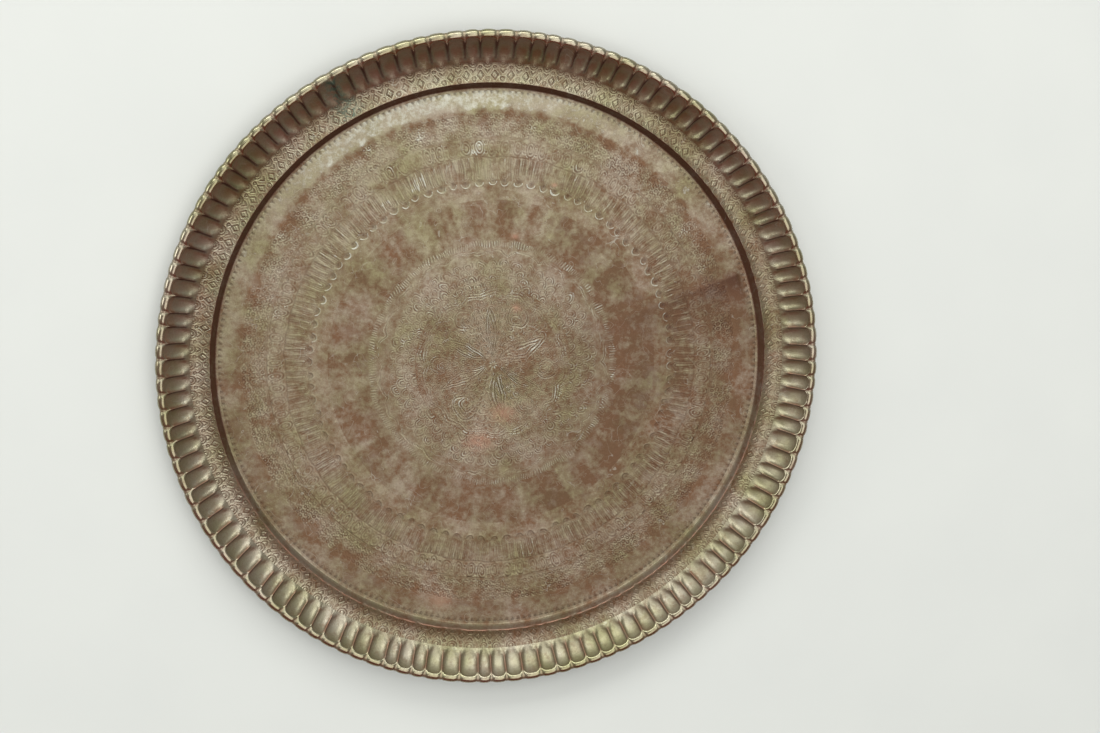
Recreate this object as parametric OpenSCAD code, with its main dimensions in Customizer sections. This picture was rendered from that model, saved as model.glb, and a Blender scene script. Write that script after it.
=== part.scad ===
// Large round serving tray, raised from one sheet of copper: a flat floor, a step up to a sharp
// ridge, a shallow gutter, a fluted wall, and a lip rolled around a wire.
// It stands on its floor. The origin is the middle of the floor's underside.

/* [Sheet] */
// Thickness of the copper sheet
sheet_t = 1.0; // [0.8:0.1:1.4]
// Diameter across the lip
tray_d = 700; // [696:1:710]

/* [Floor, step and gutter] */
// Radius of the flat floor, where the step starts
floor_r = 291.5; // [288:0.5:293]
// Radius of the ridge along the top of the step
ridge_r = 297; // [295:0.5:299]
// Height of that ridge above the table
ridge_h = 9.5; // [8:0.5:11]
// How far the gutter dips below a straight line from the ridge to the wall
gutter_dip = 3; // [1:0.5:4]

/* [Fluted wall] */
// Radius of the wall's foot
foot_r = 319; // [317:0.5:320]
// Height of the wall's foot above the table
foot_h = 8.5; // [7.5:0.5:9]
// Slope of the wall at its foot, in degrees
foot_slope = 18; // [14:1:22]
// Slope of the wall where the lip begins, in degrees
lip_slope = 62; // [56:1:64]
// Number of flutes around the wall
flute_count = 123; // [120:1:126]
// Height of the creases between flutes above the flutes' bottoms
crease_h = 4; // [2:0.25:4.5]
// Height of the same creases where they meet the lip
crease_h_at_lip = 3; // [1:0.25:3]

/* [Wire] */
// Diameter of the wire inside the rolled lip
wire_d = 6; // [5:0.5:6]
// Room around the wire inside the roll
wire_gap = 0.15; // [0.15:0.05:0.3]
// Space between the wire's two ends
wire_end_gap = 3; // [1:0.5:6]

/* [Hidden] */
$fn = 180;

// The roll's section has a corner every 45 degrees, and its flats clear the wire by wire_gap
corner_step = 45;
bore_corner_r = (wire_d / 2 + wire_gap) / cos(corner_step / 2);
roll_corner_r = bore_corner_r + sheet_t;

// The wall's section is an arc that runs into the roll at lip_slope
wall_top_r = tray_d / 2 - roll_corner_r * (1 + sin(lip_slope));
arc_r = (wall_top_r - foot_r) / (sin(lip_slope) - sin(foot_slope));
wall_top_h = foot_h + arc_r * (cos(foot_slope) - cos(lip_slope));
roll_centre = [tray_d / 2 - roll_corner_r, wall_top_h - roll_corner_r * cos(lip_slope)];

// Directions in the section: at an angle, square to a slope, and from one point to the next
function ray(angle) = [cos(angle), sin(angle)];
function upward(slope) = ray(90 + slope);
function slope_between(a, b) = atan2(b[1] - a[1], b[0] - a[0]);

// A ring of the sheet is its radius and height in the section, its slope, and its creases' height
function gutter_ring(share) =
    [[ridge_r + (foot_r - ridge_r) * share,
      ridge_h + (foot_h - ridge_h) * share - gutter_dip * 4 * share * (1 - share)], 0, 0];
function wall_ring(share) =
    let (slope = foot_slope + (lip_slope - foot_slope) * share)
    [[foot_r + arc_r * (sin(slope) - sin(foot_slope)),
      foot_h + arc_r * (cos(foot_slope) - cos(slope))], slope, crease_h];
function roll_ring(radius, angle) = [roll_centre + radius * ray(angle), 0, 0];

// The upper side, from the floor's edge out to where the roll begins
upper_rings = [
    [[floor_r, sheet_t], 0, 0],
    [[ridge_r, ridge_h], 0, 0],
    gutter_ring(0.3),
    gutter_ring(0.7),
    [[foot_r, foot_h], 0, 0],
    wall_ring(0.15),
    wall_ring(0.6),
    [[wall_top_r, wall_top_h], lip_slope, crease_h_at_lip],
];
last_upper = len(upper_rings) - 1;

// The roll, out over the wire and round under it, then back around its inside
roll_angles = [for (angle = [90 : -corner_step : -135]) angle];
roll_rings = concat(
    [for (angle = roll_angles) roll_ring(roll_corner_r, angle)],
    [for (i = [len(roll_angles) - 1 : -1 : 0]) roll_ring(bore_corner_r, roll_angles[i])]
);

// The under side, one sheet thickness from the upper side, with mitred corners
function under_ring(i) =
    let (ring = upper_rings[i],
         before = i == 0 ? 0 : slope_between(upper_rings[i - 1][0], ring[0]),
         after = i == last_upper ? ring[1] : slope_between(ring[0], upper_rings[i + 1][0]),
         thickness = sheet_t / cos((after - before) / 2))
    [ring[0] - thickness * upward((before + after) / 2), ring[1], ring[2]];
under_rings = [for (i = [last_upper : -1 : 0]) under_ring(i)];

rings = concat(upper_rings, roll_rings, under_rings);

// A ring with creases has three points to a flute, on the crease and either side of the bottom
function points_a_flute(ring) = ring[2] > 0 ? 3 : 1;
function first_point(j) =
    j == 0 ? 0 : first_point(j - 1) + flute_count * points_a_flute(rings[j - 1]);
ring_starts = [for (j = [0 : len(rings) - 1]) first_point(j)];

function ring_point(ring, i) =
    let (count = points_a_flute(ring),
         at = ring[0] + (i % 3 == 0 ? ring[2] : 0) * upward(ring[1]),
         angle = 360 * i / (flute_count * count))
    [at[0] * cos(angle), at[0] * sin(angle), at[1]];

// Number of the point that lies third/3 of the way along flute i of ring j
function point_at(j, i, third) =
    let (count = points_a_flute(rings[j]))
    ring_starts[j] + (i * count + (count == 3 ? third : round(third / 3))) % (flute_count * count);

// The triangles between rings j and j + 1 in one third of a flute: two, one or none
function strip(j, i, third) =
    let (a = point_at(j, i, third), b = point_at(j, i, third + 1),
         c = point_at(j + 1, i, third), d = point_at(j + 1, i, third + 1))
    [if (c != d) [a, d, c], if (a != b) [a, b, d]];

// The whole sheet, beaten from one disc
module tray_sheet() {
    last = len(rings) - 1;
    points = [for (ring = rings)
        for (i = [0 : flute_count * points_a_flute(ring) - 1]) ring_point(ring, i)];
    floor_top = [for (i = [flute_count - 1 : -1 : 0]) i];
    floor_under = [for (i = [0 : flute_count - 1]) ring_starts[last] + i];
    bands = [for (j = [0 : last - 1])
        for (i = [0 : flute_count - 1]) for (third = [0 : 2]) each strip(j, i, third)];
    color([0.56, 0.51, 0.42])
    polyhedron(points, concat([floor_top, floor_under], bands));
}

// Round iron wire, bent to a ring and left open where its ends meet
module edge_wire() {
    end_gap_angle = wire_end_gap / roll_centre[0] * 180 / PI;
    color("dimgray")
    rotate_extrude(angle = 360 - end_gap_angle)
    translate(roll_centre)
    circle(wire_d / 2);
}

tray_sheet();
edge_wire();
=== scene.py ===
import math

import bpy
import numpy as np
from mathutils import Matrix, Vector


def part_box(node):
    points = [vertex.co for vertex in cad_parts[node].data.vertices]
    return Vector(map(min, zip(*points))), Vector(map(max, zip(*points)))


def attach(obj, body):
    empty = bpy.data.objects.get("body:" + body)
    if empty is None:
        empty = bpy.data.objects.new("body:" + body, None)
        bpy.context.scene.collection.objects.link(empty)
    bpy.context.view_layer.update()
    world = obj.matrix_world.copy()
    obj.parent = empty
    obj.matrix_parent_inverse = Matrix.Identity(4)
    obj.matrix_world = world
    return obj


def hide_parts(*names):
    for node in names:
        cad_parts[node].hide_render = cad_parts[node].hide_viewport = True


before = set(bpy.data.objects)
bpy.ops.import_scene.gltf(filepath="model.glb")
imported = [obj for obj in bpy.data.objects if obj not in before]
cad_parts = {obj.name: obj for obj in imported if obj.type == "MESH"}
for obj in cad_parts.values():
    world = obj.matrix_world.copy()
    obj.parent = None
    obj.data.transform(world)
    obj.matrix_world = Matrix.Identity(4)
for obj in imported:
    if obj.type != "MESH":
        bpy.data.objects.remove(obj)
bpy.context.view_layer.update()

# ---------------------------------------------------------------- Camera
# A 50 mm lens above the tray, a little toward its far left side, turned so that the tray
# sits left of the middle.
MM = 0.001
camera_tilt = math.radians(12.12)
camera_heading = math.radians(119.3)
camera_distance = 1640 * MM
aimed_at = Vector((61.5, -4.3, 0)) * MM

camera_data = bpy.data.cameras.new("camera")
camera_data.lens = 50
camera_data.sensor_width = 36
camera = bpy.data.objects.new("camera", camera_data)
bpy.context.scene.collection.objects.link(camera)
camera_place = camera_distance * Vector((
    math.sin(camera_tilt) * math.cos(camera_heading),
    math.sin(camera_tilt) * math.sin(camera_heading),
    math.cos(camera_tilt)))
looking = (aimed_at - camera_place).normalized()
across = looking.cross(Vector((0, 1, 0))).normalized()
upward = across.cross(looking)
camera.matrix_world = Matrix.Translation(camera_place) @ Matrix(
    (across, upward, -looking)).transposed().to_4x4()
bpy.context.scene.camera = camera

# ---------------------------------------------------------------- Table and light
# A pale matt table top in the soft light of a studio: a broad strip and a ceiling panel beyond
# the tray's far edge, a fill overhead and a weak panel at its left. The metal mirrors walls that
# are pale on the far side and warm on the near side.
table_colour, table_shade = "#d5d8d5", "#cfd2d0"
table_cloud = 143
table_radius = 40000 * MM
table_corners = 96
near_wall, far_wall = "#983a24", "#c4c2b8"
warm_ends, pale_starts = -0.75, 0.45
walls_on_matt = "#cbccca"
backdrop = "#adaeac"
walls_strength = 0.75


def linear(hex_colour):
    """An sRGB hex colour as linear red, green, blue and alpha."""
    parts = [int(hex_colour[i:i + 2], 16) / 255 for i in (1, 3, 5)]
    return [c / 12.92 if c <= 0.04045 else ((c + 0.055) / 1.055) ** 2.4 for c in parts] + [1.0]


def add(tree, kind, inputs=None, out=0, **settings):
    """Adds one node with its own settings, gives each input a value or a link, and returns one output."""
    node = tree.nodes.new(kind)
    for name, value in settings.items():
        setattr(node, name, value)
    for socket, value in (inputs or {}).items():
        if isinstance(value, bpy.types.NodeSocket):
            tree.links.new(value, node.inputs[socket])
        else:
            node.inputs[socket].default_value = value
    return node.outputs[out] if node.outputs else None


def matt_table():
    """Painted board: matt, pale, with a faint cloudiness that the eye reads as a real surface."""
    material = bpy.data.materials.new("painted board, matt")
    material.use_nodes = True
    tree = material.node_tree
    shader = tree.nodes["Principled BSDF"]
    shader.inputs["Roughness"].default_value = 0.9
    place = add(tree, "ShaderNodeTexCoord", out="Object")
    cloudy = add(tree, "ShaderNodeTexNoise", {
        "Vector": place, "Scale": 1 / (table_cloud * MM), "Detail": 3.0})
    colour = add(tree, "ShaderNodeMix", {0: cloudy, 6: linear(table_colour), 7: linear(table_shade)},
                 out=2, data_type="RGBA")
    tree.links.new(colour, shader.inputs["Base Color"])
    return material


table_mesh = bpy.data.meshes.new("table_top")
table_turns = [2 * math.pi * corner / table_corners for corner in range(table_corners)]
table_mesh.from_pydata(
    [(table_radius * math.cos(turn), table_radius * math.sin(turn), 0) for turn in table_turns],
    [], [range(table_corners)])
table_mesh.materials.append(matt_table())
table_top = bpy.data.objects.new("table_top", table_mesh)
bpy.context.scene.collection.objects.link(table_top)


def soft_light(name, place, size, power, colour):
    """A rectangular soft light that faces the tray."""
    data = bpy.data.lights.new(name, "AREA")
    data.shape = "RECTANGLE"
    data.size, data.size_y = size
    data.energy = power
    data.color = linear(colour)[:3]
    light = bpy.data.objects.new(name, data)
    bpy.context.scene.collection.objects.link(light)
    light.location = place
    light.rotation_euler = (-Vector(place)).to_track_quat("-Z", "Y").to_euler()


soft_light("far_strip", (-0.5, 3.9, 2.5), (6.0, 1.5), 140, "#fdfcf8")
soft_light("ceiling", (0.2, 2.2, 4.2), (5.2, 2.4), 62, "#fdfcf8")
soft_light("overhead_fill", (0.9, -0.7, 4.6), (4.2, 3.0), 66, "#fefaf5")
soft_light("left_side", (-3.6, 0.9, 1.8), (1.8, 1.5), 34, "#fbfaf6")

world = bpy.data.worlds.new("studio")
bpy.context.scene.world = world
world.use_nodes = True
tree = world.node_tree
tree.nodes.clear()
facing = add(tree, "ShaderNodeSeparateXYZ", {0: add(tree, "ShaderNodeTexCoord", out="Generated")}, out="Y")
toward_far = add(tree, "ShaderNodeMapRange", {
    "Value": facing, "From Min": warm_ends, "From Max": pale_starts})
surroundings = add(tree, "ShaderNodeMix", {0: toward_far, 6: linear(near_wall), 7: linear(far_wall)},
                   out=2, data_type="RGBA")
for kind_of_ray, shade in (("Is Diffuse Ray", walls_on_matt), ("Is Camera Ray", backdrop)):
    seen_by = add(tree, "ShaderNodeLightPath", out=kind_of_ray)
    surroundings = add(tree, "ShaderNodeMix", {0: seen_by, 6: surroundings, 7: linear(shade)},
                       out=2, data_type="RGBA")
background = add(tree, "ShaderNodeBackground", {0: surroundings, 1: walls_strength})
add(tree, "ShaderNodeOutputWorld", {0: background})
bpy.context.scene.view_settings.view_transform = "Standard"

# ---------------------------------------------------------------- The sheet of tinned copper
# One sheet of copper, raised and planished by hand over stakes, so that nothing on it is quite
# even. Its section is shared by every zone below, from the floor out to the rolled lip.
sheet_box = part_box("tray_sheet")
sheet_thick = 1.0
rim_radius = sheet_box[1].x / MM
floor_radius = 292.2
ridge_radius, ridge_height = 296.8, 8.9
gutter_dip = 3.0
foot_radius, foot_height = 319.0, 8.5
foot_slope, lip_slope = math.radians(18), math.radians(62)
wire_radius, wire_room = 3.0, 0.15
roll_corner = math.radians(45)
hem_angle = math.radians(-135)
section_start, section_step = 270, 0.1
hammered_soft, soft_reach = 0.45, 15
TAU = 2 * math.pi

roll_radius = (wire_radius + wire_room) / math.cos(roll_corner / 2) + sheet_thick
wall_top_radius = rim_radius - roll_radius * (1 + math.sin(lip_slope))
wall_arc = (wall_top_radius - foot_radius) / (math.sin(lip_slope) - math.sin(foot_slope))
wall_top_height = foot_height + wall_arc * (math.cos(foot_slope) - math.cos(lip_slope))
roll_middle = (rim_radius - roll_radius, wall_top_height - roll_radius * math.cos(lip_slope))


def sheet_section():
    """The upper face of the sheet from the floor to the hem: path, radius, height and the normal."""
    share = np.linspace(0, 1, 200)
    slope = foot_slope + (lip_slope - foot_slope) * share
    turn = np.linspace(math.pi / 2 + lip_slope, hem_angle, 400)
    radius = np.concatenate([
        section_start + (floor_radius - section_start) * share,
        ridge_radius + (foot_radius - ridge_radius) * share,
        (foot_radius + wall_arc * (np.sin(slope) - math.sin(foot_slope)))[1:],
        (roll_middle[0] + roll_radius * np.cos(turn))[1:]])
    height = np.concatenate([
        sheet_thick + 0 * share,
        ridge_height + (foot_height - ridge_height) * share - gutter_dip * 4 * share * (1 - share),
        (foot_height + wall_arc * (math.cos(foot_slope) - np.cos(slope)))[1:],
        (roll_middle[1] + roll_radius * np.sin(turn))[1:]])
    path = np.concatenate([[0], np.cumsum(np.hypot(np.diff(radius), np.diff(height)))])
    even = np.arange(0, path[-1], section_step)
    reach = np.arange(-soft_reach, soft_reach + 1)
    weight = np.exp(-0.5 * (reach * section_step / hammered_soft) ** 2)
    weight /= weight.sum()
    rounded = []
    for line in (radius, height):
        padded = np.pad(np.interp(even, path, line), soft_reach, mode="reflect", reflect_type="odd")
        rounded.append(np.convolve(padded, weight, "valid"))
    radius, height = rounded
    along = np.gradient(radius), np.gradient(height)
    length = np.hypot(*along)
    return even, radius, height, -along[1] / length, along[0] / length


section_path, section_radius, section_height, normal_out, normal_up = sheet_section()


def path_at(radius):
    """How far along the section a radius on the way out to the lip lies."""
    outward = section_path[:np.argmax(section_radius)]
    return np.interp(radius, section_radius[:len(outward)], outward)


def on_section(path):
    """Radius, height and both parts of the normal at places along the section."""
    return [np.interp(path, section_path, line)
            for line in (section_radius, section_height, normal_out, normal_up)]


def hollow(x, y, seed, waves, low, high):
    """Low hammer hollows over the sheet: sine waves between two lengths, in every direction."""
    draw = np.random.default_rng(seed)
    total = np.zeros_like(x)
    for _ in range(waves):
        length = draw.uniform(low, high)
        heading, start = draw.uniform(0, TAU, 2)
        total += np.sin((x * np.cos(heading) + y * np.sin(heading)) * TAU / length + start)
    return total / math.sqrt(waves)


dent_corner, dent_heading = (263.0, 91.0), math.radians(200)
dent_high, dent_long = 3.0, 66.0
dent_gentle, dent_sharp = 26, 5.0


def dent(x, y):
    """A fold knocked into the floor beside the step: sharp at its corner, sloping to the near side."""
    x, y = x - dent_corner[0], y - dent_corner[1]
    along = x * math.cos(dent_heading) + y * math.sin(dent_heading)
    beside = y * math.cos(dent_heading) - x * math.sin(dent_heading)
    fall = np.where(beside > 0, np.exp(-(beside / dent_gentle) ** 1.3), np.exp(-np.abs(beside) / dent_sharp))
    reach = np.where(along > 0, np.exp(-along / dent_long), np.exp(-(along / dent_sharp) ** 2))
    return dent_high * fall * reach


planishing, warp = 0.16, 0.22
still_from, still_over = 339.0, 20
thinnest = 0.3


def lay_sheet(name, radius, height, out, up, angle, raise_by, tones, material, node="tray_sheet",
              facing_down=False, closed_middle=False, closed_ring=True):
    """Quads between rings. Each point stands on the section and is raised along its normal."""
    rings, columns = angle.shape
    across_mm = radius[:, None] + out[:, None] * raise_by
    x, y = across_mm * np.cos(angle), across_mm * np.sin(angle)
    z = height[:, None] + up[:, None] * raise_by
    if not facing_down:
        hollows = planishing * hollow(x, y, 5, 14, 38, 95) + warp * hollow(x, y, 6, 6, 160, 300)
        z = z + hollows * np.clip((still_from - radius[:, None]) / still_over, 0, 1)
        z = z + dent(x, y) * np.clip((floor_radius - radius[:, None]) / 8, 0, 1)
    z = np.maximum(z, 0.0 if facing_down else thinnest)
    points = np.stack([x, y, z], axis=-1).reshape(-1, 3) * MM
    ring = np.arange(rings - 1)[:, None]
    column = np.arange(columns if closed_ring else columns - 1)[None, :]
    following = (column + 1) % columns
    quads = np.stack([
        ring * columns + column, (ring + 1) * columns + column,
        (ring + 1) * columns + following, ring * columns + following], axis=-1).reshape(-1, 4)
    winding = -1 if facing_down else 1
    loops = quads[:, ::winding].ravel()
    starts = np.arange(len(quads)) * 4
    if closed_middle:
        points = np.vstack([points, [[0, 0, points[:columns, 2].mean()]]])
        first = np.arange(columns)
        fan = np.stack([np.full(columns, len(points) - 1), first, (first + 1) % columns], axis=-1)
        starts = np.concatenate([starts, len(loops) + first * 3])
        loops = np.concatenate([loops, fan[:, ::winding].ravel()])
    mesh = bpy.data.meshes.new(name)
    mesh.vertices.add(len(points))
    mesh.vertices.foreach_set("co", points.ravel())
    mesh.loops.add(len(loops))
    mesh.loops.foreach_set("vertex_index", loops.astype(np.int32))
    mesh.polygons.add(len(starts))
    mesh.polygons.foreach_set("loop_start", starts.astype(np.int32))
    mesh.update(calc_edges=True)
    mesh.validate()
    mesh.shade_smooth()
    for tone, values in tones.items():
        layer = mesh.attributes.new(tone, "FLOAT", "POINT")
        flat = np.clip(np.broadcast_to(values, angle.shape), 0, 1).ravel()
        if closed_middle:
            flat = np.append(flat, flat[:columns].mean())
        layer.data.foreach_set("value", flat.astype(np.float32))
    mesh.materials.append(material)
    piece = bpy.data.objects.new(name, mesh)
    bpy.context.scene.collection.objects.link(piece)
    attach(piece, "root")
    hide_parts(node)
    return piece


tin_grey = "#a7a292"
tin_green = "#959473"
umber = "#6d573c"
rose_brown = "#795b41"
bare_copper = "#bb907a"
soot_and_shade = "#3c190f"
lilac_haze = "#a09a8c"
tin_bloom_and_sheen = "#c3c8bc"
verdigris = "#4d5f52"


tin_roughness = 0.46
grain_deep = 0.25


def tinned_copper(name):
    """Copper sheet wiped with tin by hand, then worn: the tin gives a dull grey-green gleam, brown
    oxide clouds it, soot sits in every punched mark, and bare copper shows along the crests.
    The same tones also paint light: painted shade in the oxide and soot tones, a painted pale sheen
    in the bloom tone, and copper as a painted highlight and a painted reddish reflection.
    The mesh's tones say how much of each there is, and noise of real sizes breaks them up."""
    material = bpy.data.materials.new(name)
    material.use_nodes = True
    tree = material.node_tree
    shader = tree.nodes["Principled BSDF"]
    place = add(tree, "ShaderNodeTexCoord", out="Object")
    aside = add(tree, "ShaderNodeMapping", {0: place, 1: (1, 2, 0)})
    tone = {}
    for label in ("oxide_and_shade", "copper", "soot_and_shade", "bloom_and_sheen", "rubbed", "verdigris"):
        tone[label] = add(tree, "ShaderNodeAttribute", out="Fac", attribute_name=label)
    clouds = {}
    for label, where, size, detail, rough, low, high in (
            ("wide", place, 58, 3.0, 0.6, 0.36, 0.64), ("patches", place, 24, 6.0, 0.68, 0.38, 0.62),
            ("flecks", place, 6, 5.0, 0.75, 0.32, 0.68), ("haze", aside, 33, 6.0, 0.7, 0.52, 0.72),
            ("grain", place, 1.9, 3.0, 0.75, 0.25, 0.75)):
        noise = add(tree, "ShaderNodeTexNoise", {
            "Vector": where, "Scale": 1 / (size * MM), "Detail": detail, "Roughness": rough})
        clouds[label] = add(tree, "ShaderNodeMapRange", {"Value": noise, "From Min": low, "From Max": high})

    # Oxide, with the painted shade that shares its tone, gathers where its tone, the patches and the flecks
    # add up
    patchy = add(tree, "ShaderNodeMath", {0: clouds["patches"], 1: 0.45, 2: tone["oxide_and_shade"]},
                 operation="MULTIPLY_ADD")
    patchy = add(tree, "ShaderNodeMath", {0: clouds["flecks"], 1: 0.42, 2: patchy}, operation="MULTIPLY_ADD")
    oxide_and_shade = add(tree, "ShaderNodeMapRange", {"Value": patchy, "From Min": 0.52, "From Max": 1.36})
    hazed = add(tree, "ShaderNodeMath", {0: tone["oxide_and_shade"], 1: 0.55}, operation="MULTIPLY")
    hazed = add(tree, "ShaderNodeMath", {0: clouds["haze"], 1: hazed}, operation="MULTIPLY")

    # Chalky bloom and the painted sheen that shares its tone, dark grain, and hairline scratches where a
    # stretched noise crosses its middle
    chalky = add(tree, "ShaderNodeMath", {0: clouds["flecks"], 1: 0.5, 2: tone["bloom_and_sheen"]},
                 operation="MULTIPLY_ADD")
    bloom_and_sheen = add(tree, "ShaderNodeMapRange", {"Value": chalky, "From Min": 0.72, "From Max": 1.05})
    grainy = add(tree, "ShaderNodeMath", {0: clouds["grain"], 1: 0.26}, operation="MULTIPLY")
    stray = add(tree, "ShaderNodeTexNoise", {
        "Vector": place, "Scale": 1 / (26 * MM), "Detail": 1.5, "Distortion": 1.2})
    off_line = add(tree, "ShaderNodeMath", {0: stray, 1: 0.5}, operation="SUBTRACT")
    off_line = add(tree, "ShaderNodeMath", {0: off_line}, operation="ABSOLUTE")
    hairline = add(tree, "ShaderNodeMapRange", {
        "Value": off_line, "From Min": 0.0, "From Max": 0.006, "To Min": 0.45, "To Max": 0.0})
    hairline = add(tree, "ShaderNodeMath", {0: hairline, 1: clouds["patches"]}, operation="MULTIPLY")

    # Bare copper, also used for painted highlights and reflections, soot with painted shade, and the green
    # stain follow their tones
    worn = add(tree, "ShaderNodeMapRange", {"Value": clouds["flecks"], "To Min": 0.45, "To Max": 1.3})
    copper = add(tree, "ShaderNodeMath", {0: tone["copper"], 1: worn}, operation="MULTIPLY", use_clamp=True)
    sooty_and_shaded = add(tree, "ShaderNodeMath", {0: tone["soot_and_shade"], 1: 0.85}, operation="MULTIPLY")
    stained = add(tree, "ShaderNodeMapRange", {"Value": clouds["flecks"], "From Min": 0.3, "From Max": 0.7})
    green = add(tree, "ShaderNodeMath", {0: tone["verdigris"], 1: stained}, operation="MULTIPLY")
    colour, brown = [
        add(tree, "ShaderNodeMix", {0: clouds["wide"], 6: linear(first), 7: linear(second)},
            out=2, data_type="RGBA")
        for first, second in ((tin_grey, tin_green), (rose_brown, umber))]
    for amount, over in (
            (oxide_and_shade, brown), (hazed, linear(lilac_haze)), (bloom_and_sheen, linear(tin_bloom_and_sheen)), (grainy, linear(soot_and_shade)),
            (hairline, linear(tin_bloom_and_sheen)), (copper, linear(bare_copper)), (sooty_and_shaded, linear(soot_and_shade)),
            (green, linear(verdigris))):
        colour = add(tree, "ShaderNodeMix", {0: amount, 6: colour, 7: over}, out=2, data_type="RGBA")
    tree.links.new(colour, shader.inputs["Base Color"])

    # Oxide, soot, stain and the painted shade in their tones are less of a metal than tin is
    covered = add(tree, "ShaderNodeMath", {0: green, 1: tone["soot_and_shade"]}, operation="ADD")
    covered = add(tree, "ShaderNodeMath", {0: oxide_and_shade, 1: covered}, operation="ADD")
    metal = add(tree, "ShaderNodeMapRange", {"Value": covered, "To Min": 0.92, "To Max": 0.45})
    tree.links.new(metal, shader.inputs["Metallic"])

    # Oxide, with the painted shade in its tone, and grain dull the gleam, and rubbing brings it back
    dull = add(tree, "ShaderNodeMath", {0: oxide_and_shade, 1: 0.6}, operation="MULTIPLY")
    dull = add(tree, "ShaderNodeMath", {0: clouds["grain"], 1: 0.4, 2: dull}, operation="MULTIPLY_ADD")
    dull = add(tree, "ShaderNodeMapRange", {
        "Value": dull, "To Min": tin_roughness - 0.08, "To Max": tin_roughness + 0.14})
    rubbed = add(tree, "ShaderNodeMath", {0: tone["rubbed"], 1: -0.24, 2: dull},
                 operation="MULTIPLY_ADD", use_clamp=True)
    tree.links.new(rubbed, shader.inputs["Roughness"])

    # Fine wiping scratches and grain stand up except where the sheet is rubbed
    wiped = add(tree, "ShaderNodeMapping", {0: place, 3: (1.0, 0.12, 1.0), 2: (0, 0, 0.6)})
    scratches = add(tree, "ShaderNodeTexNoise", {"Vector": wiped, "Scale": 1 / (1.1 * MM), "Detail": 2.0})
    rough = add(tree, "ShaderNodeMath", {0: scratches, 1: 0.5, 2: clouds["grain"]}, operation="MULTIPLY_ADD")
    unpolished = add(tree, "ShaderNodeMath", {0: tone["rubbed"], 1: -0.85, 2: 1.0}, operation="MULTIPLY_ADD")
    relief = add(tree, "ShaderNodeMath", {0: rough, 1: unpolished}, operation="MULTIPLY")
    bump = add(tree, "ShaderNodeBump", {"Strength": 0.35, "Distance": grain_deep * MM, "Height": relief})
    tree.links.new(bump, shader.inputs["Normal"])
    return material


worn_tin = tinned_copper("worn hand-wiped tin over copper, planished")

# ---------------------------------------------------------------- Fluted wall and rolled lip
# The wall is sunk into 123 hollows by eye, so no two flutes are the same width. The ridges
# between them are worn to the copper, and the edge is rolled over the wire and beaten down.
flute_count = 123
flute_wide = 16.9
flute_deep, flute_deep_at_lip = 2.1, 1.9
bottom_at, bottom_half_wide = (-0.1, 0.04, 0.25, 0.5, 0.95), (0.9, 4.0, 6.6, 7.3, 7.9)
lip_inner_radius, lip_bow = 342.3, 2.2
ridge_wide, rib_wide = 0.5, 0.6
uneven, most_uneven = 0.1, 2.3
ridge_stray, depth_stray = 0.35, 0.12
crest_rise = 1.15
pad_rise, notch_sink, rib_rise = 0.9, 0.9, 0.5
wall_step, lip_step = 1.04, 0.8
gutter_outer = 317.6
stain_angle = math.radians(119)
across_flute = np.array([0, .022, .05, .09, .15, .25, .38, .5, .62, .75, .85, .91, .95, .978])

draw = np.random.default_rng(11)
pitches = 1 + uneven * np.clip(draw.normal(size=flute_count), -most_uneven, most_uneven)
pitches *= TAU / pitches.sum()
ridge_angle = np.concatenate([[0], np.cumsum(pitches)])
ridge_lean = draw.normal(size=flute_count) * ridge_stray
flute_depth_share = 1 + depth_stray * draw.normal(size=flute_count)


def flute_columns(within, share_up):
    """Column angles from where each lies within its flute, with every ridge leaning its own way."""
    lean = np.append(ridge_lean, ridge_lean[0]) / foot_radius
    start = ridge_angle[None, :] + lean[None, :] * (share_up[:, None] - 0.5)
    width = np.diff(start, axis=1)
    return (start[:, :-1, None] + width[:, :, None] * within[None, None, :]).reshape(len(share_up), -1)


def smooth(value, low, high):
    """0 below low, 1 above high, and an even rise between them."""
    share = np.clip((value - low) / (high - low), 0, 1)
    return share * share * (3 - 2 * share)


def turned(angle):
    """The same angle between minus and plus half a turn."""
    return np.mod(angle + math.pi, TAU) - math.pi


wall_start = path_at(gutter_outer)
wall_end = path_at(wall_top_radius)
roll_end = section_path[-1]
outer_edge = section_path[np.argmax(section_radius)]


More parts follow.
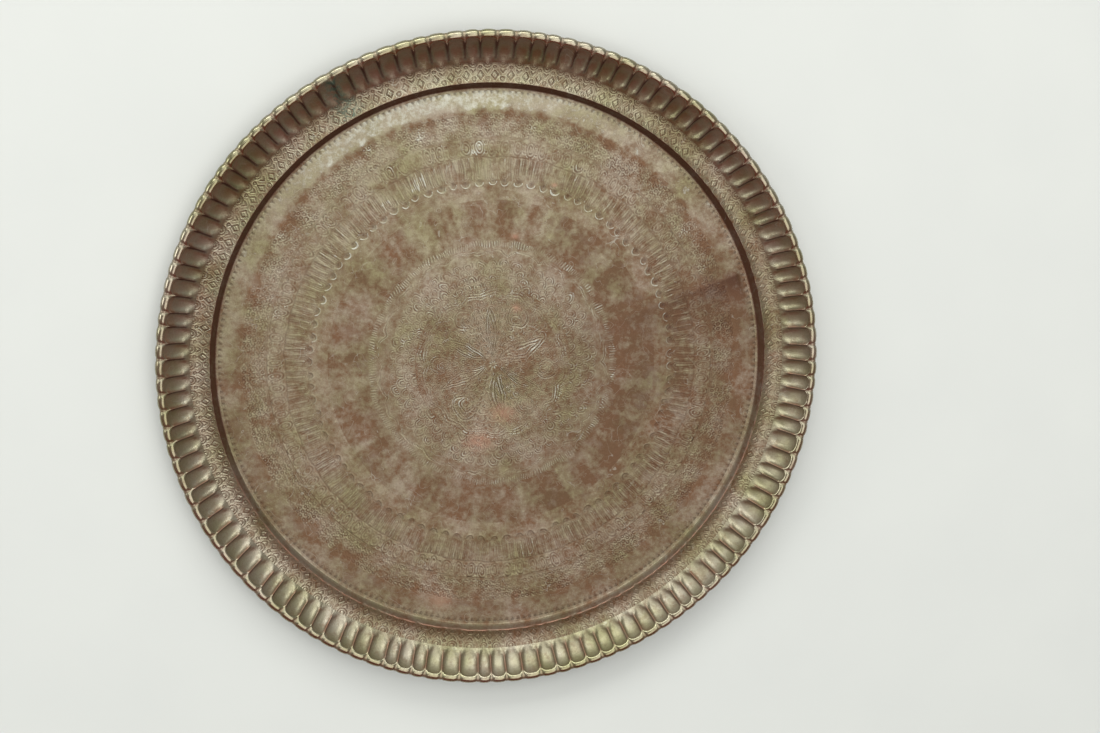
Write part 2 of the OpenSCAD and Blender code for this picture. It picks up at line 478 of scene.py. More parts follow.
def fluting(path, within):
    """Height of the flutes above their bottoms, how deep in a notch each place is, how far up the
    wall and over the lip, how far from the nearest ridge, and how far into the notches' belt."""
    off_ridge = np.minimum(within, 1 - within)[None, :] * flute_wide
    off_middle = flute_wide / 2 - off_ridge
    centred = off_middle / (flute_wide / 2)
    foot_path = path_at(foot_radius)
    up_wall = ((path - foot_path) / (wall_end - foot_path))[:, None]
    lip_from = path_at(lip_inner_radius - lip_bow * centred ** 2.2)
    on_lip = smooth(path[:, None], lip_from - 0.8, lip_from + 1.8)
    over_lip = np.clip((path[:, None] - lip_from) / (outer_edge - lip_from), 0, 3)

    # Flutes: flat-bottomed, wider and deeper up the wall, with a worn crest between them
    deep = flute_deep * smooth(up_wall, -0.12, 0.24)
    deep = deep + (flute_deep_at_lip - flute_deep) * smooth(up_wall, 0.6, 1.0)
    half_wide = np.interp(up_wall, bottom_at, bottom_half_wide)
    hollowed = np.clip(off_middle / half_wide, 0, 1.08) ** 4
    crest = np.exp(-(off_ridge / (ridge_wide * (0.7 + 0.5 * np.clip(up_wall, 0, 1)))) ** 2)
    crest_high = crest_rise * smooth(up_wall, 0.06, 0.3) * (1 - on_lip)

    # Lip: a raised pad over each flute, and a notch with a thin rib in it over each crest
    notch_wide = 0.8 + 2.4 * np.clip(over_lip, 0, 1)
    in_notch = smooth(over_lip, 0.04, 0.3) * (1 - smooth(over_lip, 1.15, 1.9))
    notch = np.exp(-(off_ridge / notch_wide) ** 2) * in_notch
    rib = np.exp(-(off_ridge / rib_wide) ** 2) * in_notch
    pad = (1 - 0.75 * centred ** 2) * on_lip * (1 - smooth(over_lip, 0.7, 1.7))
    deep = deep * hollowed * (1 - smooth(over_lip, 0.0, 0.35))
    lift = deep + crest * crest_high + pad_rise * pad - notch_sink * notch + rib_rise * rib
    return lift, notch, up_wall, over_lip, off_ridge, in_notch


wall_path = np.concatenate([
    np.arange(wall_start, wall_end, wall_step), np.arange(wall_end, outer_edge + 2, lip_step),
    np.linspace(outer_edge + 2.6, roll_end, 7)])
share_up = np.clip((wall_path - wall_start) / (wall_end - wall_start), 0, 1.3)
wall_angle = flute_columns(across_flute, share_up)
within = np.tile(across_flute, flute_count)
lift, notch, up_wall, over_lip, off_ridge, in_notch = fluting(wall_path, within)
own_depth = np.repeat(flute_depth_share, len(across_flute))[None, :]
wall_raise = lift * (1 + (own_depth - 1) * (1 - smooth(over_lip, 0.0, 0.3)))
on_wall = 1 - smooth(over_lip, 0.0, 0.12)
near_crest = np.exp(-(off_ridge / 0.7) ** 2)
from_ridge = np.where(within < 0.5, within, within - 1)[None, :] * flute_wide
shaded_flank = np.exp(-((off_ridge - 1.1) / 1.0) ** 2) * smooth(-from_ridge * np.cos(wall_angle), -0.5, 1.0)
ridge_band = np.exp(-(off_ridge / 1.4) ** 2)
shoulder = np.exp(-(off_ridge / 2.4) ** 4) * smooth(up_wall, 0.0, 0.3) * on_wall
under_lip = smooth(up_wall, 0.4, 1.0) * on_wall
# far_side is 1 on the far half of the wall; below it places painted shade, a painted reddish reflection and
# less crest copper there
far_side = smooth(np.sin(wall_angle - 0.2), -0.35, 0.6)
stain = np.exp(-(turned(wall_angle - stain_angle) / 0.03) ** 2)
pad_top = smooth(over_lip, 0.0, 0.1) * (1 - smooth(over_lip, 1.0, 1.4)) * (1 - 0.8 * notch)

# Crests are worn to copper, less so on the far side. Painted shade darkens one flank of each ridge
# and, on the far side, the ridges and the wall under the lip; copper under the lip there paints a
# reddish reflection. The near side's wall gets a painted pale sheen, and the pads are rubbed bright
wall_tones = {
    "oxide_and_shade": 0.05 + 0.4 * shoulder + under_lip * (0.1 + 0.6 * far_side) - 0.4 * pad_top
    + 0.2 * smooth(over_lip, 1.1, 1.4),
    "copper": near_crest * smooth(up_wall, 0.05, 0.3) * on_wall * (0.6 - 0.45 * far_side)
    + 0.2 * near_crest * in_notch + 0.3 * under_lip ** 2 * far_side,
    "soot_and_shade": on_wall * smooth(up_wall, 0.02, 0.2) * (0.85 * shaded_flank + 0.75 * ridge_band * far_side)
    + 0.4 * notch * smooth(over_lip, 0.15, 0.5) * (1 - 0.6 * near_crest)
    + under_lip * (0.05 + 0.3 * far_side),
    "bloom_and_sheen": 0.2 * (1 - under_lip) * on_wall * (1 - shoulder) * (1 - far_side),
    "rubbed": pad_top,
    "verdigris": stain * (1 - smooth(over_lip, 0.0, 0.5)),
}
fluted_wall = lay_sheet("fluted_wall", *on_section(wall_path), wall_angle, wall_raise, wall_tones, worn_tin)

# ---------------------------------------------------------------- Step, ridge and gutter
# The step is beaten up over a square stake to a thin ridge that every cloth has rubbed. The
# gutter is punched with a row of rings, a row of diamonds, and a pointed arch at each flute.
gutter_columns = np.arange(26) / 26
border_outer = 289.0
gutter_step = 0.7
gutter_path = np.arange(path_at(border_outer), wall_start + 0.4, gutter_step)
gutter_path[-1] = wall_start
mark_wide = 0.55
mark_row, mark_pitch = 302.0, 16.0
ring_size, ring_down = 2.0, 1.2
diamond_half_wide, diamond_half_high, diamond_up = 3.6, 4.4, 2.6
small_ring_size, small_ring_up = 1.2, 10.6
vee_point, vee_end = (0, 5.2), (2.6, 8.6)
arch_wide, arch_within_wide, arch_top = 4.4, 2.2, 14.6
step_foot_radius, step_top_radius = 291.4, 296.7


def off_ring(x, y, radius):
    """Distance from a circle."""
    return np.abs(np.hypot(x, y) - radius)


def off_stroke(x, y, start, end):
    """Distance from a straight stroke of the chisel."""
    along_x, along_y = end[0] - start[0], end[1] - start[1]
    share = ((x - start[0]) * along_x + (y - start[1]) * along_y) / (along_x ** 2 + along_y ** 2)
    share = np.clip(share, 0, 1)
    return np.hypot(x - start[0] - share * along_x, y - start[1] - share * along_y)


def struck(distance, wide=mark_wide):
    """A chased line's section: how far the metal goes down, and the burr it throws up beside it."""
    return np.exp(-(distance / wide) ** 2), np.exp(-((distance - 2.1 * wide) / wide) ** 2)


gutter_radius, gutter_height, gutter_out, gutter_up = on_section(gutter_path)
gutter_angle = flute_columns(gutter_columns, np.zeros(len(gutter_path)))
within = np.tile(gutter_columns, flute_count)[None, :]
flute_number = np.repeat(np.arange(flute_count), len(gutter_columns))
jitter = draw.normal(size=(2, flute_count)) * 0.45
x = (within - 0.5) * mark_pitch
y = gutter_radius[:, None] - mark_row
nudge_x, nudge_y = jitter[0][flute_number][None, :], jitter[1][flute_number][None, :]
in_gutter = (gutter_path >= path_at(ridge_radius) + 0.5)[:, None]
ring_x, ring_y = x - nudge_x, y + ring_down - nudge_y * 0.5
beside_x = (np.mod(within + 0.5, 1) - 0.5) * mark_pitch
diamond_from = np.abs(beside_x) / diamond_half_wide + np.abs(y - diamond_up) / diamond_half_high
diamond = np.abs(diamond_from - 1) * 2.6
vee = off_stroke(np.abs(x), y, vee_point, vee_end)
arch, arch_within = [
    np.where(y < arch_top, off_ring(x, y - arch_top, wide), np.abs(np.abs(x) - wide + lean * (y - arch_top)))
    for wide, lean in ((arch_wide, 0.0), (arch_within_wide, 0.4))]
small_ring = off_ring(beside_x, y - small_ring_up, small_ring_size)
ring_mark = off_ring(ring_x, ring_y, ring_size)
nearest = np.minimum.reduce([ring_mark, diamond, vee, arch, arch_within, small_ring])
strength = 0.85 + 0.3 * hollow(gutter_angle * 300, y + 0 * gutter_angle, 22, 10, 8, 30)
strength = strength * (0.84 + 0.24 * np.cos(gutter_angle - math.radians(165)))
down, burr = struck(nearest)
down, burr = down * in_gutter * strength, burr * in_gutter * strength
centre_dot = np.exp(-(np.hypot(ring_x, ring_y) / 0.9) ** 2) * in_gutter
plateau = np.clip(0.9 - diamond_from, 0, 0.5) * in_gutter
ridge_wobble = 0.42 * hollow(gutter_angle * 297, gutter_angle * 0, 21, 12, 5, 20)
on_ridge = np.exp(-((gutter_path[:, None] - path_at(ridge_radius) - 1.1 * ridge_wobble) / 0.85) ** 2)
# near_side is 1 on the near half of the tray; it places the painted highlight on the ridge and lifts the
# painted shade off the step there
near_side = smooth(-np.sin(gutter_angle - 0.1), 0.0, 0.6)
step_foot = np.exp(-((gutter_radius - step_foot_radius) / 1.3) ** 2)[:, None]
# Where the painted shade on the step begins: farther in, on the floor, at the far side
step_shade_start = smooth(gutter_radius[:, None], 290.8 + 2.2 * near_side, 292.2 + 2.2 * near_side)
on_step = step_shade_start * (1 - smooth(gutter_radius, step_top_radius, step_top_radius + 0.8))[:, None]
gutter_raise = -0.7 * down + 0.45 * burr - 0.6 * centre_dot + 0.5 * plateau + on_ridge * ridge_wobble
gutter_stain = np.exp(-((turned(gutter_angle) - stain_angle) / 0.045) ** 2)

# Painted shade darkens the step face, most at the far side, where it starts on the floor below the
# step and also covers the ridge. The ridge is worn to copper, but it shows only at the near side,
# as a painted highlight. A browner band runs through the gutter's middle at the near side, and the
# marks are dark with soot
gutter_tones = {
    "oxide_and_shade": 0.5 + on_step * (0.5 - 0.6 * near_side) + 0.2 * down - 0.5 * burr - 0.2 * plateau
    + 0.1 * np.sin(3 * gutter_angle) + 0.3 * np.exp(-((gutter_radius[:, None] - 300) / 6) ** 2) * near_side,
    "copper": on_ridge * (0.03 + 0.8 * near_side) * np.clip(0.8 + 1.6 * ridge_wobble, 0, 1.4),
    "soot_and_shade": 0.3 * down + 0.6 * centre_dot + on_step * (0.72 - 0.15 * near_side)
    + (0.25 * step_foot + 0.45 * on_ridge) * (1 - near_side),
    "bloom_and_sheen": 0.42 * burr + 0.25 * plateau,
    "rubbed": 0.5 * burr + 0.6 * on_ridge,
    "verdigris": gutter_stain * smooth(gutter_radius, 297, 300)[:, None],
}
top_of_step = np.searchsorted(gutter_path, path_at(ridge_radius))
for name, rows in (("step", slice(0, top_of_step + 1)), ("gutter", slice(top_of_step, None))):
    tones = {tone: np.broadcast_to(values, gutter_angle.shape)[rows]
             for tone, values in gutter_tones.items()}
    zone = lay_sheet(name, gutter_radius[rows], gutter_height[rows], gutter_out[rows], gutter_up[rows],
                     gutter_angle[rows], gutter_raise[rows], tones, worn_tin)

# ---------------------------------------------------------------- Floor border
# The flat border inside the step: a row of punched teeth, a plain band painted with a pale sheen
# toward the far left, and a belt filled with small curled and ringed stamps, closed by two engraved lines.
border_rings, border_columns = 58, 1720
border_inner = 238.4
tooth_count, tooth_row = 282, 287.9
stamp_rows, stamp_pitch = 5, 4.8
stamp_first_row, stamp_middle_row = 241.6, 253.6
stamp_count, stamp_size = 322, 1.45
inner_line, outer_line = 239.6, 241.2
blotch_count, blotch_row = 118, 268


def flat_rings(inner, outer, rings, columns):
    """Rings on the flat floor, with normals straight up."""
    radius = np.linspace(inner, outer, rings)
    angle = np.broadcast_to(np.arange(columns) * TAU / columns, (rings, columns))
    return radius, np.full(rings, sheet_thick), np.zeros(rings), np.ones(rings), angle


def by_eye(radius, angle, seed, size):
    """The same places as a hand would set them out, wandering by about size millimetres."""
    x, y = radius * np.cos(angle), radius * np.sin(angle)
    wander_out = size * hollow(x, y, seed, 12, 12, 55)
    wander_round = size * hollow(x, y, seed + 1, 12, 12, 55)
    return radius + wander_out, angle + wander_round / np.maximum(radius, 12)


def hand_weight(radius, angle, seed, least=0.35):
    """How hard the punch was struck from place to place, where 1 is the usual blow."""
    x, y = radius * np.cos(angle), radius * np.sin(angle)
    return np.clip(0.95 + 0.4 * hollow(x, y, seed, 16, 9, 60), least, 1.7)


def patch(x, y, middle, wide, tall=None):
    """A soft round or oval patch: 1 at its middle, fading to 0."""
    return np.exp(-((x - middle[0]) / wide) ** 2 - ((y - middle[1]) / (tall or wide)) ** 2)


def painted_shade_and_light(radius, angle):
    """Painted shade: darker over the near-right floor and below the dent's crease, and painted light, a
    little paler, over the far left.
    """
    x, y = radius * np.cos(angle), radius * np.sin(angle)
    dent_shade = np.clip(dent(x, y) / dent_high, 0, 1)
    return (0.24 * patch(x, y, (205, 5), 135) + 0.95 * dent_shade + 0.1 * patch(x, y, (110, -190), 120)
            - 0.12 * patch(x, y, (-60, 170), 140))


def paled(radius, angle):
    """Pale patches, over the far half of the floor only."""
    x, y = radius * np.cos(angle), radius * np.sin(angle)
    return 0.36 * smooth(hollow(x, y, 91, 14, 14, 70), 0.4, 1.7) * smooth(y, -120, 140)


worn_places = (((24, 137), 4.0), ((66, 191), 3.0), ((9, -54), 13.0), ((-60, -262), 12.0), ((25, 60), 5.0),
               ((-16, -84), 15.0))


def worn_spots(radius, angle):
    """A few places where the tin has gone and the copper shows."""
    x, y = radius * np.cos(angle), radius * np.sin(angle)
    return np.maximum.reduce([patch(x, y, middle, wide, 0.7 * wide) for middle, wide in worn_places])


def repeats(radius, angle, count, middle_radius, start=0.0):
    """Where a point lies in one of a ring's equal repeats: across it, outward, and its number."""
    turn = angle / TAU * count + start
    number = np.floor(turn)
    across = (turn - number - 0.5) * TAU * middle_radius / count
    return across, radius - middle_radius, number.astype(int) % count


radius, height, out, up, angle = flat_rings(border_inner, border_outer, border_rings, border_columns)
ring_radius = radius[:, None]
x, y, _ = repeats(ring_radius, angle, tooth_count, tooth_row)
tooth = np.clip((np.clip((y + 3.0) / 4.0, 0, 1) * 1.5 - np.abs(x)) / 0.8 + 0.4, 0, 1) * (y > -3.2) * (y < 1.4)
ring_radius, drawn_angle = by_eye(ring_radius, angle, 35, 0.5)
row = np.clip(np.floor((ring_radius - stamp_first_row) / stamp_pitch), 0, stamp_rows - 1).astype(int)
row_radius = stamp_first_row + (row + 0.5) * stamp_pitch
x, y, number = repeats(ring_radius, drawn_angle, stamp_count, stamp_middle_row, 0.5 * (row % 2))
y = ring_radius - row_radius
stamp_draw = np.random.default_rng(31)
heading = stamp_draw.uniform(0, TAU, (stamp_rows, stamp_count))[row, number]
is_ring = (stamp_draw.uniform(size=(stamp_rows, stamp_count)) < 0.5)[row, number]
shift = stamp_draw.normal(size=(2, stamp_rows, stamp_count)) * 0.3
x, y = x + shift[0][row, number], y + shift[1][row, number]
curl_x, curl_y = x * np.cos(heading) + y * np.sin(heading), -x * np.sin(heading) + y * np.cos(heading)
curl_tail = off_stroke(curl_x, curl_y, (-2.0, 1.2), (-0.5, 1.5))
curl = np.where(curl_x > -0.5, off_ring(curl_x, curl_y, stamp_size + 0.1), curl_tail)
stamps = np.where(is_ring, off_ring(x, y, stamp_size), curl)
in_belt = smooth(ring_radius, 241.2, 242.4) * (1 - smooth(ring_radius, 264.0, 267.5))
lines = np.minimum(np.abs(ring_radius - inner_line), np.abs(ring_radius - outer_line))
weight = hand_weight(ring_radius, angle, 36)
down, burr = struck(np.where(in_belt > 0.2, stamps, 9.0), 0.5)
down, burr = down * in_belt * weight, burr * in_belt * weight
line_down, line_burr = struck(lines, 0.4)
border_raise = -0.48 * down + 0.28 * burr - 0.3 * line_down + 0.15 * line_burr - 0.55 * tooth
blotch_draw = np.random.default_rng(41)
blotches = np.zeros(angle.shape)
for spot in range(blotch_count):
    spot_angle = (spot + blotch_draw.uniform(-0.3, 0.3)) / blotch_count * TAU
    wide, tall = blotch_draw.uniform(3.5, 11.0), blotch_draw.uniform(4.0, 9.5)
    brown = blotch_draw.uniform(0.1, 1.0)
    along = turned(angle - spot_angle) * blotch_row
    blotch = patch(along, ring_radius, (0, blotch_draw.uniform(259, 268)), wide, tall)
    blotches = np.maximum(blotches, brown * blotch)
plain_band = smooth(ring_radius, 266.0, 272.0)
# upper_side is 1 toward the far left: it paints a pale sheen on the plain band and the floor there, and
# painted shade in the teeth
upper_side = np.exp(-((turned(angle) - math.radians(103)) / math.radians(62)) ** 2)
near_arc = (turned(angle) < -1.1) * (turned(angle) > -2.0)
# Painted shade over the near-right floor and the dent, and painted light at the far left, go into the oxide
# and soot tones
border_painted_shade = painted_shade_and_light(ring_radius, angle)
border_tones = {
    "oxide_and_shade": 0.58 - plain_band * (0.02 + 0.5 * upper_side) + 0.85 * blotches + 0.15 * down
    - 0.4 * burr - 0.1 * upper_side * (1 - plain_band) + border_painted_shade,
    "copper": 0.4 * smooth(blotches, 0.7, 1.0) * near_arc + 0.35 * worn_spots(ring_radius, angle),
    "soot_and_shade": 0.08 * plain_band * (1 - upper_side) + 0.36 * down + 0.25 * line_down
    + 0.6 * tooth * (0.45 + 0.55 * upper_side) + 0.7 * border_painted_shade,
    "bloom_and_sheen": (0.6 * plain_band * upper_side + paled(ring_radius, angle)) * (1 - blotches) + 0.3 * burr,
}
border = lay_sheet("floor_border", radius, height, out, up, angle, border_raise, border_tones, worn_tin)

# ---------------------------------------------------------------- Floor belts of ovals and tongues
# Two chased belts inside the border: upright ovals with small rings between them, and nested
# tongues, each closed at its inner end by one deep crescent punch.
belt_rings, belt_columns = 76, 1300
belt_inner, divider_radius = 176.0, 220.7
oval_count, oval_row = 106, 230.6
oval_half_wide, oval_half_high = 4.6, 8.0
between_ovals = 6.9
tongue_count, tongue_row = 90, 200.5
tongue_half_widths = (5.6, 3.7, 1.7)
crescent_row, crescent_size = 195.0, 3.2

radius, height, out, up, angle = flat_rings(belt_inner, border_inner, belt_rings, belt_columns)
ring_radius = radius[:, None]
belt_draw = np.random.default_rng(51)
ring_radius, angle_by_eye = by_eye(ring_radius, angle, 55, 0.9)
x, y, number = repeats(ring_radius, angle_by_eye, oval_count, oval_row)
sway = belt_draw.normal(size=(2, oval_count)) * 0.4
x, y = x + sway[0][number], y + sway[1][number]
oval = np.abs(np.hypot(x / oval_half_wide, y / oval_half_high) - 1) * 5.2
inner_oval = np.abs(np.hypot(x / 2.2, y / 4.6) - 1) * 2.8
between = off_ring(np.abs(x) - between_ovals, y - 5.0, 1.2)
bead = off_ring(np.abs(x) - between_ovals, y + 4.5, 0.5)
oval_belt = np.minimum.reduce([oval, inner_oval, between, bead])
x, y, number = repeats(ring_radius, angle_by_eye, tongue_count, tongue_row)
sway = belt_draw.normal(size=(2, tongue_count)) * 0.4
x = x + sway[0][number]
tongue_belt = np.full(angle.shape, 9.0)
for half_wide in tongue_half_widths:
    line = np.where(y > 0, np.abs(np.abs(x) - half_wide * (1 - 0.012 * y)), off_ring(x, y, half_wide))
    tongue_belt = np.minimum(tongue_belt, line)
x, y, number = repeats(ring_radius, angle_by_eye, tongue_count, crescent_row)
x, y = x + sway[0][number], y + sway[1][number]
crescent_line = np.where(y < 0.8, off_ring(x, y, crescent_size), 9.0)
crescent_pit = np.exp(-(np.hypot(x, y - 0.2) / 2.1) ** 2)
in_ovals = smooth(ring_radius, 221.3, 222.2)
in_tongues = (1 - smooth(ring_radius, 219.4, 220.2)) * smooth(ring_radius, 196.5, 198.5)
divider = np.abs(ring_radius - divider_radius)
oval_down, oval_burr = struck(oval_belt)
tongue_down, tongue_burr = struck(tongue_belt)
line_down, line_burr = struck(np.minimum(divider, crescent_line), 0.5)
down = oval_down * in_ovals + tongue_down * in_tongues
burr = oval_burr * in_ovals + tongue_burr * in_tongues
weight = hand_weight(ring_radius, angle, 57)
down, burr = down * weight, burr * weight
crescent_lit = np.exp(-((np.hypot(x, y) - crescent_size - 1.0) / 0.7) ** 2) * (y < 0)
# far_half grows toward the far half: it weights the pale rim beside each crescent, a painted highlight, and
# the soot in each pit, partly painted shade
far_half = 0.45 + 0.55 * smooth(np.sin(angle), -0.5, 0.5)
belt_raise = -0.34 * down + 0.2 * burr - 0.45 * line_down - 0.6 * crescent_pit + 0.45 * crescent_lit
# Painted shade over the near-right floor and the dent, and painted light at the far left, go into the oxide
# and soot tones
belt_painted_shade = painted_shade_and_light(ring_radius, angle)
belt_tones = {
    "oxide_and_shade": 0.56 + 0.12 * down - 0.35 * burr - 0.35 * crescent_lit * far_half + belt_painted_shade,
    "copper": 0.5 * worn_spots(ring_radius, angle),
    "soot_and_shade": 0.3 * down + 0.3 * line_down + 0.6 * crescent_pit * far_half + 0.7 * belt_painted_shade,
    "bloom_and_sheen": 0.4 * burr + 0.8 * crescent_lit * far_half + paled(ring_radius, angle),
}
belts = lay_sheet("oval_and_tongue_belts", radius, height, out, up, angle, belt_raise, belt_tones, worn_tin)

# ---------------------------------------------------------------- Plain ring and hatched edge
# A plain ring, browner than the rest and streaked outward by wiping, then the middle medallion's
# edge of short ticks with leaf scales inside it.
plain_rings, plain_columns = 98, 1010
tick_count, tick_row = 325, 129.6
medal_outer = 84.0
scale_high, scale_count = 7.5, 52
scratch_ends = (((93, -51), (121, -51)), ((121, -51), (117, -71)), ((128, -18), (149, 12)))

radius, height, out, up, angle = flat_rings(medal_outer, belt_inner, plain_rings, plain_columns)
ring_radius = radius[:, None]
ring_radius, angle_by_eye = by_eye(ring_radius, angle, 65, 1.3)
x, y, _ = repeats(ring_radius, angle_by_eye, tick_count, tick_row)
ticks = np.where(np.abs(y) < 3.0, np.abs(x + 0.12 * y), 9.0)
scallop = np.abs(ring_radius - 118 - 5.0 * np.abs(np.sin(angle_by_eye * 11)))
scale_row = np.floor((ring_radius - medal_outer) / scale_high)
turn = angle_by_eye / TAU * scale_count + 0.5 * np.mod(scale_row, 2)
across_scale = (turn - np.floor(turn) - 0.5) * TAU * (medal_outer + 4 + scale_high * scale_row) / scale_count
up_scale = ring_radius - medal_outer - scale_high * scale_row
scales = np.minimum(off_ring(across_scale, up_scale - 1.0, 4.8), off_ring(across_scale, up_scale - 1.0, 2.4))
in_scales = 1 - smooth(ring_radius, 112.0, 115.0)
down_tick, burr_tick = struck(np.minimum(ticks, scallop), 0.45)
down_scale, burr_scale = struck(scales, 0.5)
down = down_tick + down_scale * in_scales
burr = burr_tick * (ring_radius < 134) + burr_scale * in_scales
weight = hand_weight(ring_radius, angle, 67, 0.6)
down, burr = down * weight, burr * weight
streaks = hollow(angle * 150, angle * 0, 61, 12, 9, 40) * smooth(ring_radius, 133, 140)
place_x, place_y = radius[:, None] * np.cos(angle), radius[:, None] * np.sin(angle)
off_scratch = np.minimum.reduce([off_stroke(place_x, place_y, start, end) for start, end in scratch_ends])
scraped = np.exp(-(off_scratch / 0.6) ** 2)
plain_raise = -0.32 * down + 0.16 * burr - 0.2 * scraped
# Painted shade over the near-right floor and the dent, and painted light at the far left, go into the oxide
# and soot tones
plain_painted_shade = painted_shade_and_light(ring_radius, angle)
plain_tones = {
    "oxide_and_shade": 0.68 + 0.22 * streaks + 0.12 * down - 0.4 * burr - 0.12 * (1 - smooth(ring_radius, 126, 136))
    + plain_painted_shade,
    "copper": 0.5 * worn_spots(ring_radius, angle),
    "soot_and_shade": 0.1 + 0.2 * down + 0.75 * plain_painted_shade,
    "bloom_and_sheen": np.minimum(0.5 * burr + paled(ring_radius, angle), 0.62) + 0.5 * scraped,
}
plain_ring = lay_sheet("plain_ring", radius, height, out, up, angle, plain_raise, plain_tones, worn_tin)

# ---------------------------------------------------------------- Middle medallion
# The middle of the same floor, chased by eye: a small star, six leaf arms drawn with double lines,
# a round lobe between each pair, a ground of scales, and a scalloped and ticked border.
medal_rings, medal_columns = 118, 840
arms, petals = 6, 8
arm_start, arm_end, arm_wide = 9, 61, 5.8
lobe_row, lobe_size = 57, 10.5
border_row, border_tick_count = 79.5, 96
radius, height, out, up, angle = flat_rings(0.7, medal_outer, medal_rings, medal_columns)
ring_radius, drawn_angle = by_eye(radius[:, None], angle, 75, 1.2)
drawn_angle = drawn_angle + 0.1 * np.sin(2 * angle + 1) + 0.06 * np.sin(3 * angle + 2)
turn = np.mod(drawn_angle / TAU * arms, 1) - 0.5
from_arm = turn * TAU / arms
along_arm, beside_arm = ring_radius * np.cos(from_arm), np.abs(ring_radius * np.sin(from_arm))
leaf_share = np.clip((along_arm - arm_start) / (arm_end - arm_start), 0, 1)
leaf_edge = arm_wide * np.sin(math.pi * leaf_share) ** 0.8
on_leaf = (along_arm > arm_start) & (along_arm < arm_end)
leaf = np.where(on_leaf, np.abs(beside_arm - leaf_edge), 9.0)
inside_leaf = (along_arm > arm_start + 5) & (along_arm < arm_end - 5)
leaf_within = np.where(inside_leaf, np.abs(beside_arm - leaf_edge + 2.8), 9.0)
from_lobe = (np.mod(drawn_angle / TAU * arms + 0.5, 1) - 0.5) * TAU / arms
along_lobe, beside_lobe = ring_radius * np.cos(from_lobe), ring_radius * np.sin(from_lobe)
lobe = off_ring(along_lobe - lobe_row, beside_lobe, lobe_size)
lobe_within = off_ring(along_lobe - lobe_row + 3, beside_lobe, 5.4)
pair = off_ring(along_lobe - 33, np.abs(beside_lobe) - 3.6, 1.9)
bud = off_ring(along_lobe - 42, beside_lobe, 2.4)
scalloped = np.abs(ring_radius - 74 - 3.5 * np.abs(np.sin(angle * 9)))
scale_row = np.floor(ring_radius / 6.5)
scale_turn = drawn_angle / TAU * np.maximum(np.round(scale_row * 5), 5) + 0.5 * np.mod(scale_row, 2)
strokes = off_ring((scale_turn - np.floor(scale_turn) - 0.5) * 8.2, ring_radius - 6.5 * scale_row - 1.5, 2.9)
strokes = np.where(hand_weight(ring_radius, angle, 78, 0.0) > 0.5, strokes, 9.0)
petal_turn = (np.mod(angle / TAU * petals, 1) - 0.5) * TAU / petals
petal = np.hypot((ring_radius * np.cos(petal_turn) - 2.7) / 2.3, ring_radius * np.sin(petal_turn) / 0.75)
x, y, _ = repeats(ring_radius, drawn_angle, border_tick_count, border_row)
border_ticks = np.where(np.abs(y) < 2.6, np.abs(x + 0.3 * y), 9.0)
drawn = np.minimum.reduce([
    leaf, leaf_within, lobe, lobe_within, pair, bud, scalloped, np.abs(scalloped - 2.6), border_ticks])
down, burr = struck(drawn, 0.5)
down_stroke, burr_stroke = struck(strokes, 0.4)
weight = hand_weight(ring_radius, angle, 77, 0.6)
down = np.maximum(0.95 * down * weight, 0.8 * down_stroke * (ring_radius > 9))
burr = np.maximum(0.95 * burr * weight, 0.9 * burr_stroke * (ring_radius > 9))
star = np.exp(-petal ** 4)
lobe_swell = np.clip(1 - np.hypot(along_lobe - lobe_row, beside_lobe) / lobe_size, 0, 1)
medal_raise = -0.32 * down + 0.26 * burr - 0.35 * star + 0.9 * lobe_swell
medal_tones = {
    "oxide_and_shade": 0.7 + 0.1 * down - 0.42 * burr - 0.5 * star + 0.12 * np.sin(angle * 2 + 1),
    "copper": 0.45 * worn_spots(ring_radius, angle),
    "soot_and_shade": 0.08 + 0.1 * down,
    "bloom_and_sheen": 0.55 * burr + 0.6 * star + 0.6 * paled(ring_radius, angle),
}
medallion = lay_sheet("middle_medallion", radius, height, out, up, angle, medal_raise, medal_tones,
                      worn_tin, closed_middle=True)

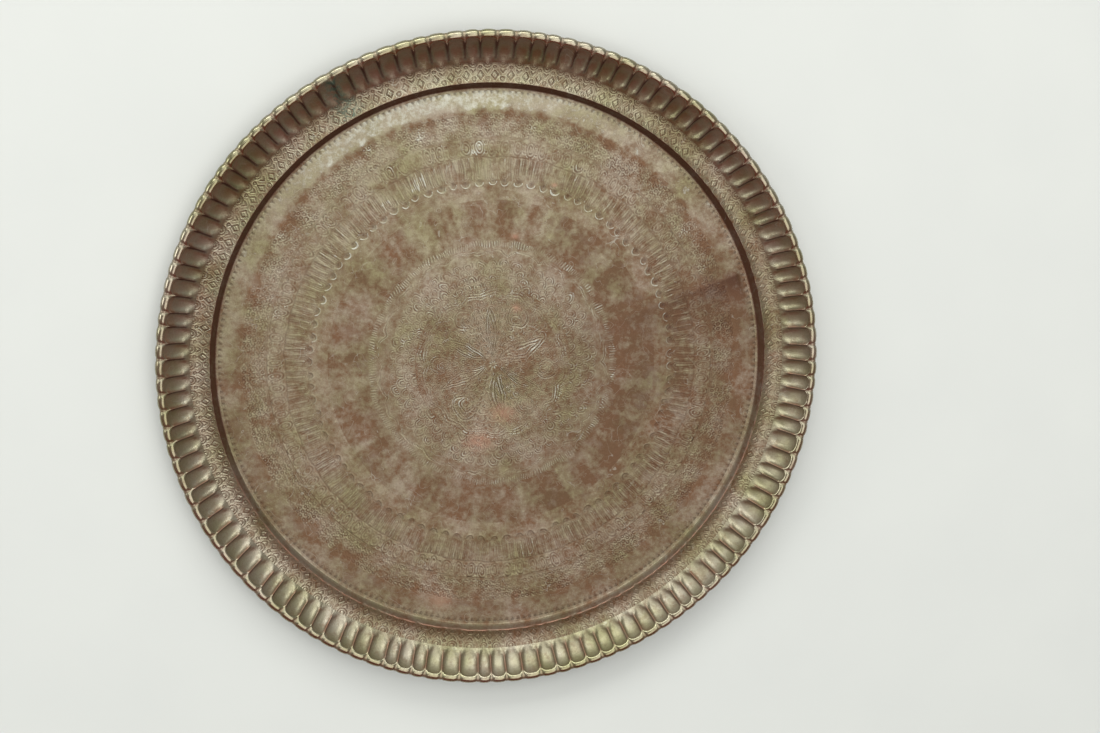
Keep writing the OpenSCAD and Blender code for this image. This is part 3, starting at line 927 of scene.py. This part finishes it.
# ---------------------------------------------------------------- Underside
# The back of the same sheet. Only the front was kept bright, so the back is brown with oxide, and
# the flutes stand out on it as ribs up to the roll, which wraps the wire.
back_columns = np.arange(10) / 10
back_path = np.concatenate([
    np.arange(path_at(border_outer), wall_start, 1.1), np.arange(wall_start, wall_end, 1.0),
    np.linspace(wall_end, wall_end + 2.4, 4)])
floor_back = np.array([4, 30, 70, 110, 150, 190, 220, 245, 262, 275, 284.0])
flat_back = np.zeros(len(floor_back))
back_share = np.clip((back_path - wall_start) / (wall_end - wall_start), 0, 1.3)
back_angle = flute_columns(back_columns, np.concatenate([flat_back, back_share]))
back_raised = fluting(back_path, np.tile(back_columns, flute_count))[0]
back_raise = np.vstack([np.zeros((len(floor_back), back_raised.shape[1])), back_raised]) - sheet_thick
flat_section = (floor_back, flat_back + sheet_thick, flat_back, flat_back + 1)
back_section = [np.concatenate(both) for both in zip(flat_section, on_section(back_path))]
back_tones = {"oxide_and_shade": 0.72 + 0.1 * np.sin(5 * back_angle), "copper": 0.06, "soot_and_shade": 0.12}
underside = lay_sheet("underside", *back_section, back_angle, back_raise, back_tones, worn_tin,
                      facing_down=True, closed_middle=True)

# ---------------------------------------------------------------- Edge wire
# A drawn iron wire inside the roll, cut with a small gap where its two ends meet. It is dull grey
# with brown rust, seen only through the open side of the roll.
wire_end_gap = 3.0
wire_gap_angle = wire_end_gap / roll_middle[0]
wire_columns, wire_sides = 720, 12
iron_grey, iron_rust = "#4b4744", "#5a3624"
rust_patch = 9


def drawn_iron(name):
    """Drawn iron wire: a dull dark grey metal, with rust in soft patches."""
    material = bpy.data.materials.new(name)
    material.use_nodes = True
    tree = material.node_tree
    shader = tree.nodes["Principled BSDF"]
    place = add(tree, "ShaderNodeTexCoord", out="Object")
    rust = add(tree, "ShaderNodeTexNoise", {"Vector": place, "Scale": 1 / (rust_patch * MM), "Detail": 4.0})
    rusted = add(tree, "ShaderNodeMapRange", {"Value": rust, "From Min": 0.45, "From Max": 0.65})
    colour = add(tree, "ShaderNodeMix", {0: rusted, 6: linear(iron_grey), 7: linear(iron_rust)},
                 out=2, data_type="RGBA")
    tree.links.new(colour, shader.inputs["Base Color"])
    shader.inputs["Metallic"].default_value = 0.8
    shader.inputs["Roughness"].default_value = 0.55
    return material


wire_turn = np.linspace(0, TAU, wire_sides + 1)
wire_angle = np.broadcast_to(
    np.linspace(wire_gap_angle / 2, TAU - wire_gap_angle / 2, wire_columns), (wire_sides + 1, wire_columns))
edge_wire = lay_sheet("edge_wire_drawn", roll_middle[0] + wire_radius * np.cos(wire_turn),
                      roll_middle[1] + wire_radius * np.sin(wire_turn), 0 * wire_turn, 0 * wire_turn,
                      wire_angle, 0 * wire_angle, {}, drawn_iron("drawn iron wire, rusted"),
                      node="edge_wire", facing_down=True, closed_ring=False)
